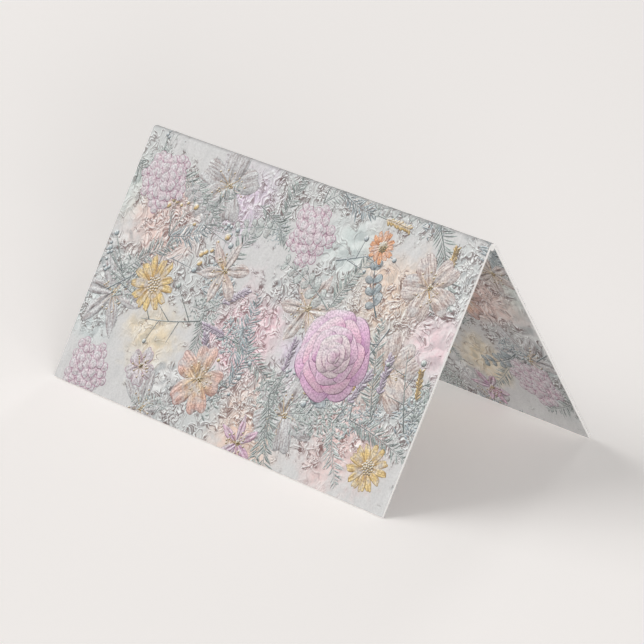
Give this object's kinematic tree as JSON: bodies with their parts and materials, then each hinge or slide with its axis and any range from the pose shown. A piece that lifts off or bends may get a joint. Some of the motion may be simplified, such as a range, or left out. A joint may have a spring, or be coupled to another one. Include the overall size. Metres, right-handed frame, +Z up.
{
  "type": "greeting card",
  "caption": "Small printed greeting card, folded along its middle with a creased fold and standing as an open tent.",
  "frame": {"origin": "centre of the footprint, on the surface that the card stands on", "axes": "+X along the fold, +Y from the near panel towards the far panel, +Z up"},
  "size_m": [0.0888, 0.0524, 0.0439],
  "materials": {
    "printed_board": "satin"
  },
  "bodies": {
    "root": {"folded_card": "printed_board"}
  },
  "joints": []
}
